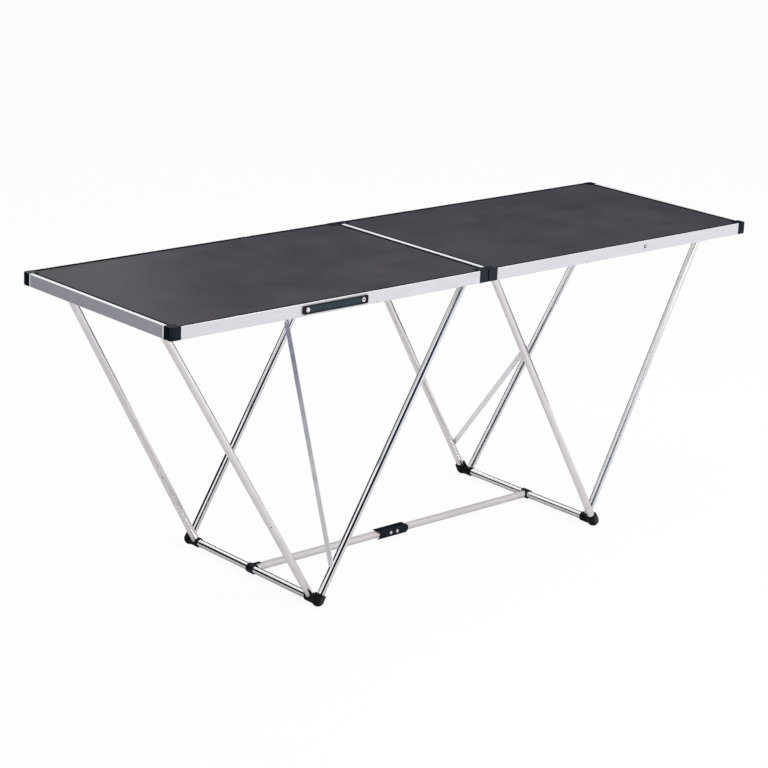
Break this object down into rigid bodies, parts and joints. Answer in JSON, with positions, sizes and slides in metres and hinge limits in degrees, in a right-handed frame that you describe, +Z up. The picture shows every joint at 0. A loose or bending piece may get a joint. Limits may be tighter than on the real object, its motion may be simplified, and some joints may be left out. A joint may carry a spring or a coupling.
{
  "type": "pasting table",
  "caption": "Long folding work table: dark boards in bright rails, hinged in the middle, on splayed tube legs with base rails, braces and a folding spreader.",
  "frame": {"origin": "on the floor, under the middle of the hinge line", "axes": "+X along the table towards the right panel, -Y towards the front with the handle, +Z up"},
  "size_m": [2, 0.6049, 0.809],
  "materials": {
    "board": "dark grey laminate",
    "rail": "satin",
    "block": "matt",
    "tube": "bright",
    "hinge": "satin",
    "strap": "matt"
  },
  "bodies": {
    "left_panel": {"left_board": "board", "left_front_rail": "rail", "left_back_rail": "rail", "left_end_rail": "rail", "left_hinge_rail": "rail", "left_front_end_block": "block", "left_front_hinge_block": "block", "left_front_pivot_bracket": "block", "left_front_leg_stop": "block", "hinge_front_left_leaf": "hinge", "left_back_end_block": "block", "left_back_hinge_block": "block", "left_back_pivot_bracket": "block", "left_back_leg_stop": "block", "hinge_back_left_leaf": "hinge", "carry_handle": "strap", "handle_rivet_left": "hinge", "handle_rivet_right": "hinge"},
    "right_panel": {"right_board": "board", "right_front_rail": "rail", "right_back_rail": "rail", "right_end_rail": "rail", "right_hinge_rail": "rail", "right_front_end_block": "block", "right_front_hinge_block": "block", "right_front_pivot_bracket": "block", "right_front_leg_stop": "block", "hinge_front_right_leaf": "hinge", "right_back_end_block": "block", "right_back_hinge_block": "block", "right_back_pivot_bracket": "block", "right_back_leg_stop": "block", "hinge_back_right_leaf": "hinge"},
    "left_frame": {"left_front_outer_leg": "tube", "left_front_foot": "block", "left_back_outer_leg": "tube", "left_back_foot": "block", "left_base_rail": "tube", "left_brace": "hinge"},
    "right_frame": {"right_front_outer_leg": "tube", "right_front_foot": "block", "right_back_outer_leg": "tube", "right_back_foot": "block", "right_base_rail": "tube", "right_brace": "hinge"},
    "left_inner": {"left_front_inner_leg": "tube", "left_front_knuckle": "block", "left_back_inner_leg": "tube", "left_back_knuckle": "block"},
    "right_inner": {"right_front_inner_leg": "tube", "right_front_knuckle": "block", "right_back_inner_leg": "tube", "right_back_knuckle": "block"},
    "spreader_left": {"spreader_left_tube": "tube", "spreader_left_clip": "block"},
    "spreader_sleeve": {"spreader_sleeve": "block", "sleeve_rivet_left": "hinge", "sleeve_rivet_right": "hinge"},
    "spreader_right": {"spreader_right_tube": "tube", "spreader_right_clip": "block"}
  },
  "joints": [
    {"name": "leg_fold", "type": "hinge", "parent": "left_panel", "child": "left_frame", "pos_m": [-0.044, 0, 0.789], "axis": [0, 1, 0], "range_deg": [0, 57.5]},
    {"name": "left_inner_swing", "type": "hinge", "parent": "left_frame", "child": "left_inner", "pos_m": [-0.499, 0, 0.0155], "axis": [0, 1, 0], "range_deg": [-298, 0]},
    {"name": "centre_fold", "type": "hinge", "parent": "left_panel", "child": "right_panel", "pos_m": [0, 0, 0.773], "axis": [0, 1, 0], "range_deg": [0, 180]},
    {"name": "right_leg_fold", "type": "hinge", "parent": "right_panel", "child": "right_frame", "pos_m": [0.044, 0, 0.789], "axis": [0, 1, 0], "range_deg": [-58, 0]},
    {"name": "right_inner_swing", "type": "hinge", "parent": "right_frame", "child": "right_inner", "pos_m": [0.499, 0, 0.0155], "axis": [0, 1, 0], "range_deg": [0, 298]},
    {"name": "spreader_swing", "type": "hinge", "parent": "left_frame", "child": "spreader_left", "pos_m": [-0.499, 0, 0.0155], "axis": [0, 1, 0], "range_deg": [-57, 0]},
    {"name": "sleeve_fold", "type": "hinge", "parent": "spreader_left", "child": "spreader_sleeve", "pos_m": [-0.029, 0, 0.0155], "axis": [0, 1, 0], "range_deg": [0, 89]},
    {"name": "spreader_fold", "type": "hinge", "parent": "spreader_sleeve", "child": "spreader_right", "pos_m": [-0.006, 0, 0.0155], "axis": [0, 1, 0], "range_deg": [0, 89]}
  ],
  "couplings": [
    {"joint": "left_inner_swing", "follows": "leg_fold", "ratio": -5.1739},
    {"joint": "centre_fold", "follows": "leg_fold", "ratio": 0.34783},
    {"joint": "right_leg_fold", "follows": "leg_fold", "ratio": -1},
    {"joint": "right_inner_swing", "follows": "leg_fold", "ratio": 5.1739},
    {"joint": "spreader_swing", "follows": "leg_fold", "ratio": -0.98261},
    {"joint": "sleeve_fold", "follows": "leg_fold", "ratio": 1.5391},
    {"joint": "spreader_fold", "follows": "leg_fold", "ratio": 1.5391}
  ]
}
